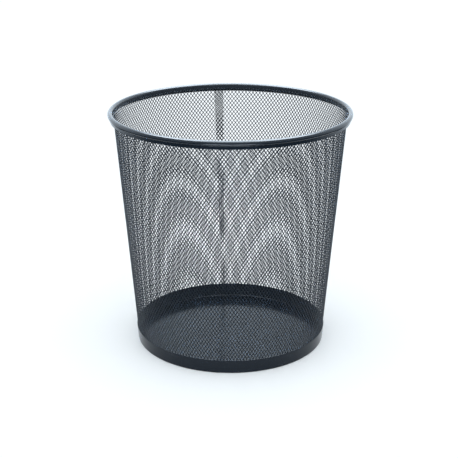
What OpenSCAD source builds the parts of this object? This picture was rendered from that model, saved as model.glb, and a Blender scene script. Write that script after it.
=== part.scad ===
// Round mesh wastebasket: a cone of expanded steel sheet, a rolled rim and a pressed base pan.
// Millimetres, +Z up. The origin is the centre of the underside, on the floor it stands on.

/* [Overall] */
// Total height, from the floor to the top of the rim
total_h = 294; // [150:1:450]
// Outer diameter over the rim
rim_d = 295; // [250:1:400]
// Outer diameter of the base pan, measured at the floor as if its corner were sharp
base_d = 236; // [150:1:260]

/* [Rolled rim] */
// Diameter of the rolled bead
bead_d = 6.4; // [5:0.1:12]
// Thickness of the rim's steel strip
rim_sheet = 0.6; // [0.4:0.1:1.0]
// How far the inner leg, against the wall, reaches below the centre of the bead
foot_h = 4.5; // [4.4:0.1:20]
// How far the outer leg, the lip, hangs below the centre of the bead
lip_h = 6.9; // [6.5:0.1:20]

/* [Base pan] */
// Thickness of the pan's sheet steel
pan_sheet = 0.7; // [0.5:0.1:1.2]
// Height of the skirt, from the floor
skirt_h = 17.5; // [12:0.5:40]
// Outside radius of the pressed corner between floor and skirt
corner_r = 1.5; // [1.2:0.1:5]

/* [Mesh wall] */
// Thickness of the expanded sheet
mesh_sheet = 0.6; // [0.4:0.1:1.0]
// Height of the wall's lower edge above the top of the pan's pressed corner
mesh_lift = 1; // [0.5:0.5:4]
// How far the wall's upper edge stops below the centre of the bead
mesh_drop = 2; // [1:0.25:3]
// Angle from the back centre line to the near edge of the lap seam
lap_a = 3.85; // [0:0.05:20]
// Width of the lap seam at the rim
lap_top_w = 12; // [4:0.5:25]
// Width of the lap seam at the base
lap_bottom_w = 3.5; // [2:0.5:25]

/* [Welds] */
// Space between the wall and the sheets outside it, which the weld spots fill
weld_gap = 0.2; // [0.1:0.05:0.4]
// Diameter of one weld spot
weld_d = 2.4; // [1.5:0.1:3]
// Weld spots around the rim
rim_weld_n = 24; // [6:2:36]
// Weld spots around the base
base_weld_n = 24; // [6:2:36]

/* [Hidden] */

steel_black = "#23262b";
weld_grey = "#54585e";

rim_r = rim_d / 2;
base_r = base_d / 2;
bead_r = bead_d / 2;
bead_z = total_h - bead_r;

// The wall's outer face is the cone that all three sheets share, each at its own distance from it.
cone_bottom_r = base_r - pan_sheet - weld_gap;
cone_top_r = rim_r - bead_d - weld_gap;
cone_slope = (cone_top_r - cone_bottom_r) / bead_z;
cone_a = atan(cone_slope);
function cone_r(z) = cone_bottom_r + cone_slope * z;

mesh_bottom_z = corner_r + mesh_lift;
mesh_top_z = bead_z - mesh_drop;
foot_z = bead_z - foot_h;

// A conical sheet of revolution between two heights, from one distance off the cone to another.
module cone_sheet(from_z, to_z, inner, outer) {
  rotate_extrude($fn = 180)
    polygon([[cone_r(from_z) + inner, from_z], [cone_r(from_z) + outer, from_z],
             [cone_r(to_z) + outer, to_z], [cone_r(to_z) + inner, to_z]]);
}

// The expanded sheet, rolled to a cone and lapped on its inner side at the back.
module mesh_wall() {
  color(steel_black) union() {
    cone_sheet(mesh_bottom_z, mesh_top_z, -mesh_sheet, 0);
    intersection() {
      cone_sheet(mesh_bottom_z, mesh_top_z, -2 * mesh_sheet, -mesh_sheet / 2);
      lap_outline();
    }
  }
}

// A tapered upright slab that picks the lap seam out of the back of the wall.
module lap_outline() {
  edge_bottom_x = -cone_r(mesh_bottom_z) * sin(lap_a);
  edge_top_x = -cone_r(mesh_top_z) * sin(lap_a);
  translate([0, rim_r, 0]) rotate([90, 0, 0]) linear_extrude(height = rim_r)
    polygon([[edge_bottom_x, mesh_bottom_z], [edge_top_x, mesh_top_z],
             [edge_top_x - lap_top_w, mesh_top_z], [edge_bottom_x - lap_bottom_w, mesh_bottom_z]]);
}

// A steel strip folded over the wall's top edge: an inner leg against the wall, a hollow bead rolled
// outward above it, and a lip hanging from the underside of the bead.
module rolled_rim() {
  color(steel_black) rotate_extrude($fn = 180) union() {
    polygon([[cone_r(foot_z) + weld_gap, foot_z],
             [cone_r(foot_z) + weld_gap + rim_sheet, foot_z],
             [rim_r - bead_d + rim_sheet, bead_z],
             [rim_r - bead_d, bead_z]]);
    translate([rim_r - bead_r, bead_z]) {
      difference() {
        circle(r = bead_r, $fn = 60);
        circle(r = bead_r - rim_sheet, $fn = 60);
        translate([-bead_d, -bead_d]) square(bead_d);
      }
      translate([0, -lip_h]) square([rim_sheet, lip_h - bead_r + rim_sheet / 2]);
    }
  }
}

// A pressed pan: a flat floor, a small round corner and a skirt that follows the cone.
module base_pan() {
  color(steel_black) rotate_extrude($fn = 180) difference() {
    pan_fill(0, skirt_h);
    pan_fill(pan_sheet, skirt_h + pan_sheet);
  }
}

// The pan's outline filled in, drawn inset from its outer face.
module pan_fill(inset, top_z) {
  corner_x = base_r + cone_slope * corner_r - corner_r / cos(cone_a);
  round_r = corner_r - inset;
  tangent = [corner_x + round_r * cos(cone_a), corner_r - round_r * sin(cone_a)];
  union() {
    polygon([[0, inset], [corner_x, inset], [corner_x, corner_r], tangent,
             [tangent[0] + cone_slope * (top_z - tangent[1]), top_z], [0, top_z]]);
    translate([corner_x, corner_r]) circle(r = round_r, $fn = 48);
  }
}

// A ring of weld spots that fill the gap outside the wall at one height.
module weld_ring(count, centre_z) {
  color(weld_grey) intersection() {
    cone_sheet(centre_z - weld_d, centre_z + weld_d, 0, weld_gap);
    for (i = [0 : count - 1])
      rotate([0, 0, i * 360 / count]) translate([cone_r(centre_z) - weld_d, 0, centre_z])
        rotate([0, 90, 0]) cylinder(d = weld_d, h = 2 * weld_d, $fn = 24);
  }
}

module rim_welds() {
  weld_ring(rim_weld_n, (foot_z + mesh_top_z) / 2);
}

module base_welds() {
  weld_ring(base_weld_n, (mesh_bottom_z + skirt_h) / 2);
}

mesh_wall();
rolled_rim();
base_pan();
rim_welds();
base_welds();
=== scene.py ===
import math

import bmesh
import bpy
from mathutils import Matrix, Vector


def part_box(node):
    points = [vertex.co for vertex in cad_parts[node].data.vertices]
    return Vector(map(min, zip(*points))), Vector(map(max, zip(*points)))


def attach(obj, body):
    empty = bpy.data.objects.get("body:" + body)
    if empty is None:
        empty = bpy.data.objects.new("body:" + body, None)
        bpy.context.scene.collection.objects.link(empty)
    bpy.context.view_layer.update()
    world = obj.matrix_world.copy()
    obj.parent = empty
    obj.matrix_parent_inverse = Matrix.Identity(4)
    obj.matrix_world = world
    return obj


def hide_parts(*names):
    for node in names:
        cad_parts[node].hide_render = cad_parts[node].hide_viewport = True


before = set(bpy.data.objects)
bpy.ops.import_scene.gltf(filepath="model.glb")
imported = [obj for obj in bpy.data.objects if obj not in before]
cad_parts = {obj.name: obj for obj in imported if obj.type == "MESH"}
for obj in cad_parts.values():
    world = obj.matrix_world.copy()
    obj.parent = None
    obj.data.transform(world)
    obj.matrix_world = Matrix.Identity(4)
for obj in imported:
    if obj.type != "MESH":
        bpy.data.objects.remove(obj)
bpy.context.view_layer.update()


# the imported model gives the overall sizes; what its boxes can't tell is repeated here and in the pieces
mm = 0.001
rimLow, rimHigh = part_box("rolled_rim")
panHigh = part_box("base_pan")[1]
wallLow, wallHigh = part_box("mesh_wall")

steel = {
    "mesh": 0.6 * mm,  # expanded sheet, over its raised strands
    "rim": 0.6 * mm,
    "pan": 0.7 * mm,
    "weldGap": 0.2 * mm,  # between the wall and the sheets outside it
}
# wall, rim and pan skirt share one cone: the wall's outer face
wallTop, wallBottom = wallHigh.z, wallLow.z
wallTopRadius = wallHigh.x
skirtTop, skirtTopRadius = panHigh.z, panHigh.x
coneSlope = (wallTopRadius - skirtTopRadius + steel["pan"] + steel["weldGap"]) / (wallTop - skirtTop)
coneFloorRadius = wallTopRadius - coneSlope * wallTop
print("cone slope", round(coneSlope, 5), "radius at the floor", round(coneFloorRadius, 5))


def coneRadius(z):
    return coneFloorRadius + coneSlope * z


# one output socket of a node tree; sums and products on it add Math nodes
class Flow:
    def __init__(self, tree, socket=None):
        self.tree = tree
        self.socket = socket

    def add(self, kind, settings=None, feeds=None, out=0):
        node = self.tree.nodes.new(kind)
        for name, value in (settings or {}).items():
            setattr(node, name, value)
        for key, value in (feeds or {}).items():
            self.feed(self.pick(node.inputs, key), value)
        made = self.pick(node.outputs, out) if len(node.outputs) else None
        return Flow(self.tree, made)

    @staticmethod
    def pick(sockets, key):
        if isinstance(key, int):
            return sockets[key]
        return [socket for socket in sockets if key in (socket.identifier, socket.name)][0]

    def feed(self, target, value):
        if isinstance(value, Flow):
            self.tree.links.new(value.socket, target)
        else:
            target.default_value = value

    def math(self, operation, first, second):
        return self.add("ShaderNodeMath", {"operation": operation}, {0: first, 1: second})

    # 0 below start, 1 above end, smooth between
    def ramp(self, value, start, end):
        return self.add("ShaderNodeMapRange", {"interpolation_type": "SMOOTHSTEP"},
                        {"Value": value, "From Min": start, "From Max": end})

    def __add__(self, other):
        return self.math("ADD", self, other)

    __radd__ = __add__

    def __mul__(self, other):
        return self.math("MULTIPLY", self, other)

    __rmul__ = __mul__

    def __sub__(self, other):
        return self.math("SUBTRACT", self, other)

    def __rsub__(self, other):
        return self.math("SUBTRACT", other, self)

    def __truediv__(self, other):
        return self.math("DIVIDE", self, other)

    def __mod__(self, other):
        return self.math("FLOORED_MODULO", self, other)


def startMaterial(name):
    material = bpy.data.materials.new(name)
    material.use_nodes = True
    material.node_tree.nodes.clear()
    return material, Flow(material.node_tree)


powderCoat = {
    "colour": (0.004, 0.008, 0.014),
    "colourWorn": (0.006, 0.010, 0.016),
    "roughness": 0.17,
    "grainRoughness": 0.03,  # how much the peel and the worn patches change it
    "patchRoughness": 0.04,
    "ior": 1.32,
    "patchScale": 38.0,  # worn patches to the metre
    "patchRange": (0.42, 0.68),
    "patchWear": 0.5,  # how far the patches and the grain turn the colour to the worn one
    "grainWear": 0.2,
    "peelSize": 1.6 * mm,
    "peelDepth": 0.004 * mm,
    "peelStrength": 0.6,
}


def makePowderCoat(name, values):
    material, flow = startMaterial(name)
    place = flow.add("ShaderNodeTexCoord", out="Object")
    cloud = flow.add("ShaderNodeTexNoise", None,
                     {"Vector": place, "Scale": values["patchScale"], "Detail": 3.0, "Roughness": 0.55},
                     "Fac")
    grain = flow.add("ShaderNodeTexNoise", None,
                     {"Vector": place, "Scale": 1.0 / values["peelSize"], "Detail": 2.0, "Roughness": 0.5},
                     "Fac")
    patch = flow.ramp(cloud, *values["patchRange"])
    colour = flow.add("ShaderNodeMix", {"data_type": "RGBA"},
                      {"Factor_Float": patch * values["patchWear"] + grain * values["grainWear"],
                       "A_Color": (*values["colour"], 1.0), "B_Color": (*values["colourWorn"], 1.0)},
                      "Result_Color")
    roughness = (values["roughness"] + (grain - 0.5) * values["grainRoughness"]
                 + (patch - 0.5) * values["patchRoughness"])
    bump = flow.add("ShaderNodeBump", None,
                    {"Strength": values["peelStrength"], "Distance": values["peelDepth"],
                     "Height": grain}, "Normal")
    shader = flow.add("ShaderNodeBsdfPrincipled", None,
                      {"Base Color": colour, "Roughness": roughness, "Normal": bump,
                       "IOR": values["ior"]})
    flow.add("ShaderNodeOutputMaterial", None, {"Surface": shader})
    return material


sheetCoat = makePowderCoat("sheetPowderCoat", powderCoat)
meshCoat = makePowderCoat("meshPowderCoat",
                          {**powderCoat, "roughness": 0.42, "ior": 1.27, "peelStrength": 0.3})
weldCoat = makePowderCoat("weldPowderCoat", {**powderCoat, "roughness": 0.42, "peelStrength": 0.48})
print("finishes made")

meshSheet = {
    "columns": 190,  # diamonds round the wall
    "bottomPitch": 6.42 * mm,  # height of a diamond at the wall's lower edge
    "topPitch": 5.72 * mm,  # stretched wider, so shorter, at the upper edge
    "strand": 0.78 * mm,  # width of one strand
    "knuckle": 0.88,  # share of the hole's width left between the knuckles
    "thick": 0.38 * mm,
    "twist": 0.11 * mm,  # how far a strand's two edges lie off the sheet
    "sectors": ["Right", "Back", "Left", "Front"],
}
lapSeam = {
    "edgeAngle": math.radians(3.85),  # from the back centre line to the lap's near edge
    "topWidth": 12 * mm,
    "bottomWidth": 3.5 * mm,
    "alignedHeight": 198 * mm,  # where both layers' diamonds lie on each other
    "driftHeight": 133 * mm,  # rise over which the inner layer slips one diamond sideways
    "columns": 12,  # enough for the lap's widest place, before it is cut out
}


# one diamond, 1 wide and 1 high round its hole; z is how far a point lies off the sheet, in twists
def makeCell(values):
    halfWidth = math.pi * coneRadius(wallTop / 2) / values["columns"]
    halfHeight = (values["bottomPitch"] + values["topPitch"]) / 4
    inset = 1 - values["strand"] / 2 / (halfWidth * halfHeight / math.hypot(halfWidth, halfHeight))
    side, tip = inset * values["knuckle"] / 2, inset / 2
    shoulder = inset * (1 - values["knuckle"]) / 2
    points = [(0.5, 0, 0), (0, 0.5, 0), (-0.5, 0, 0), (0, -0.5, 0),
              (side, shoulder, 0), (0, tip, -1), (-side, shoulder, 0),
              (-side, -shoulder, 0), (0, -tip, 1), (side, -shoulder, 0)]
    # each face starts at a knuckle, so the left and right strands split into mirrored triangles
    faces = [(0, 1, 5, 4), (2, 6, 5, 1), (2, 3, 8, 7), (0, 9, 8, 3), (0, 4, 9), (2, 7, 6)]
    mesh = bpy.data.meshes.new("diamond")
    mesh.from_pydata(points, [], faces)
    cell = bpy.data.objects.new("diamond", mesh)
    bpy.context.scene.collection.objects.link(cell)
    return cell


# the lattice tree's named inputs: socket type and starting value, lengths in metres
latticeInputs = {
    "Cell": ("NodeSocketObject", None),
    "Material": ("NodeSocketMaterial", None),
    "Columns Around": ("NodeSocketInt", 190),
    "First Column": ("NodeSocketInt", 0),
    "Columns": ("NodeSocketInt", 48),
    "Rows": ("NodeSocketInt", 93),
    "Bottom": ("NodeSocketFloat", 0.0035),
    "Bottom Pitch": ("NodeSocketFloat", 0.0064),
    "Top Pitch": ("NodeSocketFloat", 0.0057),
    "Floor Radius": ("NodeSocketFloat", 0.117),
    "Slope": ("NodeSocketFloat", 0.08),
    "Twist": ("NodeSocketFloat", 0.0001),
    "Inset": ("NodeSocketFloat", 0.0001),
    "Drift": ("NodeSocketFloat", 0.0),
    "Aligned Height": ("NodeSocketFloat", 0.198),
}


def makeLatticeTree():
    tree = bpy.data.node_groups.new("diamondLattice", "GeometryNodeTree")
    tree.interface.new_socket("Geometry", in_out="INPUT", socket_type="NodeSocketGeometry")
    for label, (kind, start) in latticeInputs.items():
        made = tree.interface.new_socket(label, in_out="INPUT", socket_type=kind)
        if start is not None:
            made.default_value = start
    tree.interface.new_socket("Geometry", in_out="OUTPUT", socket_type="NodeSocketGeometry")
    flow = Flow(tree)
    given = tree.nodes.new("NodeGroupInput")
    value = {label: Flow(tree, given.outputs[label]) for label in latticeInputs}

    # diamonds in a flat brick pattern, counted in diamonds; every second row is half a diamond across
    index = flow.add("GeometryNodeInputIndex")
    row = flow.add("ShaderNodeMath", {"operation": "FLOOR"}, {0: index / value["Columns"]})
    column = index % value["Columns"] + value["First Column"]
    spot = flow.add("ShaderNodeCombineXYZ", None,
                    {"X": column + (row % 2) * 0.5, "Y": row * 0.5 + 0.5, "Z": 0.0})
    points = flow.add("GeometryNodePoints", None,
                      {"Count": value["Columns"] * value["Rows"], "Position": spot})
    cell = flow.add("GeometryNodeObjectInfo", None, {"Object": value["Cell"]}, "Geometry")
    placed = flow.add("GeometryNodeInstanceOnPoints", None, {"Points": points, "Instance": cell})
    flat = flow.add("GeometryNodeRealizeInstances", None, {"Geometry": placed})
    joined = flow.add("GeometryNodeMergeByDistance", None,
                      {"Geometry": flat, "Distance": 0.002})  # in diamonds

    # then rolled onto the cone
    place = flow.add("GeometryNodeInputPosition")
    across = flow.add("ShaderNodeSeparateXYZ", None, {0: place}, "X")
    up = flow.add("ShaderNodeSeparateXYZ", None, {0: place}, "Y")
    off = flow.add("ShaderNodeSeparateXYZ", None, {0: place}, "Z")
    cellsHigh = (value["Rows"] + 1) * 0.5
    height = (value["Bottom"] + up * value["Bottom Pitch"]
              + up * up * (value["Top Pitch"] - value["Bottom Pitch"]) / (cellsHigh * 2))
    slipped = across + (height - value["Aligned Height"]) * value["Drift"]
    angle = slipped * (2 * math.pi) / value["Columns Around"]
    radius = value["Floor Radius"] + height * value["Slope"] - value["Inset"] + off * value["Twist"]
    onCone = flow.add("ShaderNodeCombineXYZ", None,
                      {"X": radius * flow.add("ShaderNodeMath", {"operation": "COSINE"}, {0: angle}),
                       "Y": radius * flow.add("ShaderNodeMath", {"operation": "SINE"}, {0: angle}),
                       "Z": height})
    rolled = flow.add("GeometryNodeSetPosition", None, {"Geometry": joined, "Position": onCone})
    solid = flow.add("GeometryNodeRealizeInstances", None, {"Geometry": rolled})
    coated = flow.add("GeometryNodeSetMaterial", None, {"Geometry": solid, "Material": value["Material"]})
    flow.add("NodeGroupOutput", None, {"Geometry": coated})
    return tree


def runTree(name, tree, settings):
    host = bpy.data.objects.new(name, bpy.data.meshes.new(name))
    bpy.context.scene.collection.objects.link(host)
    modifier = host.modifiers.new("nodes", "NODES")
    modifier.node_group = tree
    sockets = {item.name: item.identifier for item in tree.interface.items_tree if item.in_out == "INPUT"}
    for label, value in settings.items():
        modifier[sockets[label]] = value
    return bakeModifiers(host)


# swaps the object's mesh for the modifiers' result
def bakeModifiers(host):
    bpy.context.view_layer.update()
    depsgraph = bpy.context.evaluated_depsgraph_get()
    mesh = bpy.data.meshes.new_from_object(host.evaluated_get(depsgraph), depsgraph=depsgraph)
    host.modifiers.clear()
    old, host.data = host.data, mesh
    mesh.name = host.name
    bpy.data.meshes.remove(old)
    return host


def thicken(piece, thick):
    solidify = piece.modifiers.new("thickness", "SOLIDIFY")
    solidify.thickness = thick
    solidify.offset = -1.0
    solidify.use_quality_normals = True
    bakeModifiers(piece)
    piece.data.shade_smooth()


def finishPiece(piece, slot, *nodes):
    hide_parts(*nodes)
    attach(piece, "root")
    print(piece.name, len(piece.data.polygons), "faces")


cell = makeCell(meshSheet)
latticeTree = makeLatticeTree()
meanPitch = (meshSheet["bottomPitch"] + meshSheet["topPitch"]) / 2
cellsHigh = (wallTop - wallBottom) / meanPitch
rows = int(cellsHigh * 2) - 1
pitchScale = cellsHigh / ((rows + 1) / 2)  # a whole number of half diamonds fills the wall
sharedInputs = {
    "Cell": cell,
    "Material": meshCoat,
    "Columns Around": meshSheet["columns"],
    "Rows": rows,
    "Bottom": wallBottom,
    "Bottom Pitch": meshSheet["bottomPitch"] * pitchScale,
    "Top Pitch": meshSheet["topPitch"] * pitchScale,
    "Floor Radius": coneFloorRadius,
    "Slope": coneSlope,
    "Twist": meshSheet["twist"],
    "Inset": meshSheet["twist"],
}

sectorCount = len(meshSheet["sectors"])
starts = [round(meshSheet["columns"] * (i - 0.5) / sectorCount) for i in range(sectorCount + 1)]
for i, side in enumerate(meshSheet["sectors"]):
    sector = runTree("meshWall" + side, latticeTree,
                     {**sharedInputs, "First Column": starts[i], "Columns": starts[i + 1] - starts[i]})
    thicken(sector, meshSheet["thick"])
    finishPiece(sector, "powder_coated_mesh", "mesh_wall")


def makeLap(values):
    columnAngle = 2 * math.pi / meshSheet["columns"]
    nearAngle = math.pi / 2 + values["edgeAngle"]
    firstColumn = int(nearAngle / columnAngle) - values["columns"] // 4
    piece = runTree("lapSeam", latticeTree,
                    {**sharedInputs, "First Column": firstColumn, "Columns": values["columns"],
                     "Inset": meshSheet["twist"] + steel["mesh"],
                     "Drift": 1 / values["driftHeight"], "Aligned Height": values["alignedHeight"]})
    shaped = bmesh.new()
    shaped.from_mesh(piece.data)
    # two planes cut the outline: one through the axis at the near edge, one along the slanting far edge
    away = Vector((-math.sin(nearAngle), math.cos(nearAngle), 0))
    farTop = Vector((-wallTopRadius * math.sin(values["edgeAngle"]) - values["topWidth"], 0, wallTop))
    farBottom = Vector((-coneRadius(wallBottom) * math.sin(values["edgeAngle"]) - values["bottomWidth"],
                        0, wallBottom))
    farNormal = (farTop - farBottom).cross(Vector((0, 1, 0)))
    for spot, normal in ((Vector(), -away), (farBottom, farNormal if farNormal.x < 0 else -farNormal)):
        everything = shaped.verts[:] + shaped.edges[:] + shaped.faces[:]
        bmesh.ops.bisect_plane(shaped, geom=everything, plane_co=spot, plane_no=normal, clear_outer=True)
    shaped.to_mesh(piece.data)
    shaped.free()
    thicken(piece, meshSheet["thick"])
    finishPiece(piece, "powder_coated_mesh", "mesh_wall")


makeLap(lapSeam)
bpy.data.objects.remove(cell)
print("mesh wall made")


# turns a closed outline of (radius, height) points round the axis; radius 0 makes a pole
def turnProfile(name, points, segments, material):
    turned = bmesh.new()
    rings = []
    for radius, z in points:
        if radius == 0:
            rings.append([turned.verts.new((0, 0, z))])
            continue
        ring = []
        for i in range(segments):
            angle = 2 * math.pi * i / segments
            ring.append(turned.verts.new((radius * math.cos(angle), radius * math.sin(angle), z)))
        rings.append(ring)
    for i, ring in enumerate(rings):
        following = rings[(i + 1) % len(rings)]
        if len(ring) == 1 and len(following) == 1:
            continue
        for j in range(segments):
            k = (j + 1) % segments
            corners = [ring[j % len(ring)], ring[k % len(ring)],
                       following[k % len(following)], following[j % len(following)]]
            turned.faces.new(list(dict.fromkeys(corners)))
    bmesh.ops.recalc_face_normals(turned, faces=turned.faces)
    mesh = bpy.data.meshes.new(name)
    turned.to_mesh(mesh)
    turned.free()
    mesh.materials.append(material)
    mesh.shade_smooth()
    piece = bpy.data.objects.new(name, mesh)
    bpy.context.scene.collection.objects.link(piece)
    return piece


# outline of a bent sheet from its centre line, with round edges; openStart leaves poles on the axis
def thickLine(path, thick, capSteps=5, openStart=False):
    half = thick / 2
    left, right = [], []
    for i, (x, z) in enumerate(path):
        before, after = path[max(i - 1, 0)], path[min(i + 1, len(path) - 1)]
        dx, dz = after[0] - before[0], after[1] - before[1]
        size = math.hypot(dx, dz)
        left.append((x - dz / size * half, z + dx / size * half))
        right.append((x + dz / size * half, z - dx / size * half))

    def cap(centre, start):
        begin = math.atan2(start[1] - centre[1], start[0] - centre[0])
        return [(centre[0] + half * math.cos(begin - math.pi * i / capSteps),
                 centre[1] + half * math.sin(begin - math.pi * i / capSteps)) for i in range(1, capSteps)]

    outline = left + cap(path[-1], left[-1]) + right[::-1]
    if not openStart:
        outline += cap(path[0], right[0])
    return outline


# points on a circle between two angles in degrees
def arc(centre, radius, start, end, steps):
    return [(centre[0] + radius * math.cos(math.radians(start + (end - start) * i / steps)),
             centre[1] + radius * math.sin(math.radians(start + (end - start) * i / steps)))
            for i in range(steps + 1)]


def line(start, end, steps):
    return [(start[0] + (end[0] - start[0]) * i / steps, start[1] + (end[1] - start[1]) * i / steps)
            for i in range(steps + 1)]


rim = {
    "bead": 6.4 * mm,
    "foot": 4.5 * mm,  # how far the inner leg reaches below the centre of the bead
    "pinch": 0.7 * mm,  # centre line radius where the bead turns down into the lip
    "segments": 480,
    "legSteps": 5,
    "curlSteps": 40,
    "bendSteps": 5,
    "lipSteps": 3,
}


def makeRim(values):
    thick = steel["rim"]
    middle = values["bead"] / 2 - thick / 2
    centre = (rimHigh.x - values["bead"] / 2, rimHigh.z - values["bead"] / 2)
    footZ = centre[1] - values["foot"]
    foot = (coneRadius(footZ) + steel["weldGap"] + thick / 2, footZ + thick / 2)
    head = (centre[0] - middle, centre[1])
    leg = line(foot, head, values["legSteps"])[:-1]
    lipRadius = centre[0] + thick / 2
    turn = values["pinch"]
    across = lipRadius + turn - centre[0]
    turnCentre = (lipRadius + turn, centre[1] - math.sqrt((middle + turn) ** 2 - across ** 2))
    pinchAngle = math.degrees(math.atan2(turnCentre[1] - centre[1], across))
    curl = arc(centre, middle, 180, pinchAngle, values["curlSteps"])
    bend = arc(turnCentre, turn, pinchAngle + 180, 180, values["bendSteps"])
    lip = line((lipRadius, turnCentre[1]), (lipRadius, rimLow.z + thick / 2), values["lipSteps"])
    outline = thickLine(leg + curl + bend[1:] + lip[1:], thick)
    piece = turnProfile("rolledRim", outline, values["segments"], sheetCoat)
    finishPiece(piece, "powder_coated_sheet", "rolled_rim")


makeRim(rim)

pan = {
    "corner": 1.5 * mm,  # outside radius of the pressed corner
    "floorRings": [0.0, 0.2, 0.4, 0.6, 0.75, 0.88, 0.96],  # shares of the flat floor's radius
    "segments": 480,
    "cornerSteps": 10,
    "skirtSteps": 6,
}


def makePan(values):
    thick = steel["pan"]
    tilt = math.atan(coneSlope)
    outer = skirtTopRadius - coneSlope * skirtTop  # skirt's outer face carried down to the floor
    corner = values["corner"]
    centre = (outer + coneSlope * corner - corner / math.cos(tilt), corner)
    floor = [(centre[0] * share, thick / 2) for share in values["floorRings"]]
    bend = arc(centre, corner - thick / 2, -90, -math.degrees(tilt), values["cornerSteps"])
    topZ = skirtTop - thick / 2
    skirt = line(bend[-1], (bend[-1][0] + coneSlope * (topZ - bend[-1][1]), topZ), values["skirtSteps"])
    outline = thickLine(floor + bend + skirt[1:], thick, openStart=True)
    piece = turnProfile("basePan", outline, values["segments"], sheetCoat)
    finishPiece(piece, "powder_coated_sheet", "base_pan")


makePan(pan)

for node in ("rim_welds", "base_welds"):
    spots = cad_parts[node]
    spots.data.materials.clear()
    spots.data.materials.append(weldCoat)
print("rim, pan and welds made")

floorDisc = {
    "colour": (0.93, 0.935, 0.935),
    "radius": 0.42,
    "place": (0, 0.08, 0),
    "toothScale": 900.0,
}

studio = {
    # strengths
    "seen": 1.05,  # the backdrop as the camera sees it
    "fillFront": 1.36,  # soft light on matt surfaces
    "fillBack": 0.80,
    "fillTop": 1.36,
    "sheenLow": 0.04,  # what the gloss of the coat reflects, from below up to above
    "sheenHigh": 2.0,
    "sheenBack": 1.6,
    "level": 1.6,  # a soft band of light just below level, in front
    "ring": 26.0,  # a ring of soft light overhead, dimmer in its middle
    "ringMiddle": 0.15,
    "card": 20.0,  # a low reflector in front
    "fillTint": (0.97, 1.03, 1.07),
    "sheenTint": (0.88, 1.0, 1.11),
    # where each one starts and is full, or is full and ends, as parts of a direction one long
    "backEdge": (-0.4, 0.4),
    "topEdge": (0.3, 0.9),
    "climbEdge": (-0.25, 0.9),
    "underEdge": (-0.5, -0.2),
    "levelHeight": -0.03,
    "levelEdge": (0.05, 0.26),
    "ringTilt": 0.2,  # the ring leans to the back
    "ringEdge": (0.75, 0.9),
    "ringMiddleEdge": (0.95, 0.985),
    "cardHeight": -0.68,
    "cardEdge": (0.07, 0.12),
    "cardSides": (0.2, 0.42),
}


def makeFloor(values):
    mesh = bpy.data.meshes.new("studioFloor")
    disc = bmesh.new()
    bmesh.ops.create_circle(disc, cap_ends=True, segments=128, radius=values["radius"])
    disc.to_mesh(mesh)
    disc.free()
    floor = bpy.data.objects.new("studioFloor", mesh)
    floor.location = values["place"]
    bpy.context.scene.collection.objects.link(floor)
    material, flow = startMaterial("studioPaper")
    place = flow.add("ShaderNodeTexCoord", out="Object")
    tooth = flow.add("ShaderNodeTexNoise", None,
                     {"Vector": place, "Scale": values["toothScale"], "Detail": 2.0}, "Fac")
    shader = flow.add("ShaderNodeBsdfPrincipled", None,
                      {"Base Color": (*values["colour"], 1.0), "Roughness": 0.9 + tooth * 0.1,
                       "Specular IOR Level": 0.0})
    flow.add("ShaderNodeOutputMaterial", None, {"Surface": shader})
    mesh.materials.append(material)


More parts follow.
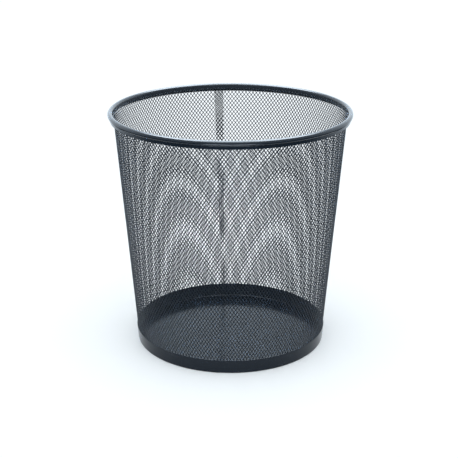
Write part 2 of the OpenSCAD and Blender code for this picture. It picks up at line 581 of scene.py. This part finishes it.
# soft light from all sides; matt surfaces and gloss each get their own share of it
def makeSky(values):
    world = bpy.data.worlds.new("studioSky")
    bpy.context.scene.world = world
    world.use_nodes = True
    world.cycles.sampling_method = "NONE"
    world.node_tree.nodes.clear()
    flow = Flow(world.node_tree)
    towards = flow.add("ShaderNodeTexCoord", out="Generated")
    x = flow.add("ShaderNodeSeparateXYZ", None, {0: towards}, "X")
    y = flow.add("ShaderNodeSeparateXYZ", None, {0: towards}, "Y")
    z = flow.add("ShaderNodeSeparateXYZ", None, {0: towards}, "Z")

    def band(value, middle, edge):
        away = flow.add("ShaderNodeMath", {"operation": "ABSOLUTE"}, {0: value - middle})
        return 1 - flow.ramp(away, *edge)

    back = flow.ramp(y, *values["backEdge"])
    front = 1 - back
    top = flow.ramp(z, *values["topEdge"])
    fill = (values["fillFront"] * front + values["fillBack"] * back) * (1 - top) + values["fillTop"] * top

    climb = flow.ramp(z, *values["climbEdge"])
    behind = back * (1 - top) * flow.ramp(z, *values["underEdge"])
    level = band(z, values["levelHeight"], values["levelEdge"]) * front
    ringMiddle = (1 - values["ringMiddle"]) * flow.ramp(z, *values["ringMiddleEdge"])
    ring = flow.ramp(z + y * values["ringTilt"], *values["ringEdge"]) * (1 - ringMiddle)
    card = band(z, values["cardHeight"], values["cardEdge"]) * band(x, 0.0, values["cardSides"]) * front
    sheen = (values["sheenLow"] + climb * (values["sheenHigh"] - values["sheenLow"])
             + behind * values["sheenBack"] + level * values["level"]
             + ring * values["ring"] + card * values["card"])

    camera = flow.add("ShaderNodeLightPath", out="Is Camera Ray")
    glossy = flow.add("ShaderNodeLightPath", out="Is Glossy Ray")
    strength = camera * values["seen"] + glossy * sheen + (1 - camera - glossy) * fill
    colour = flow.add("ShaderNodeMix", {"data_type": "RGBA"},
                      {"Factor_Float": glossy, "A_Color": (*values["fillTint"], 1.0),
                       "B_Color": (*values["sheenTint"], 1.0)}, "Result_Color")
    light = flow.add("ShaderNodeBackground", None, {"Color": colour, "Strength": strength})
    flow.add("ShaderNodeOutputWorld", None, {"Surface": light})


makeFloor(floorDisc)
makeSky(studio)

view = {
    "lens": 87.67,
    "place": (0.0, -1.3117, 0.6132),
    "pitch": 19.84,  # degrees below level
    "shiftX": -0.003,
    "shiftY": 0.0011,
}


def makeCamera(values):
    camera = bpy.data.objects.new("camera", bpy.data.cameras.new("camera"))
    bpy.context.scene.collection.objects.link(camera)
    camera.location = values["place"]
    camera.rotation_euler = (math.radians(90 - values["pitch"]), 0, 0)
    camera.data.sensor_width = 36
    camera.data.lens = values["lens"]
    camera.data.shift_x = values["shiftX"]
    camera.data.shift_y = values["shiftY"]
    bpy.context.scene.camera = camera


makeCamera(view)
bpy.context.scene.view_settings.view_transform = "Standard"
print("studio and camera made")

bpy.context.view_layer.update()
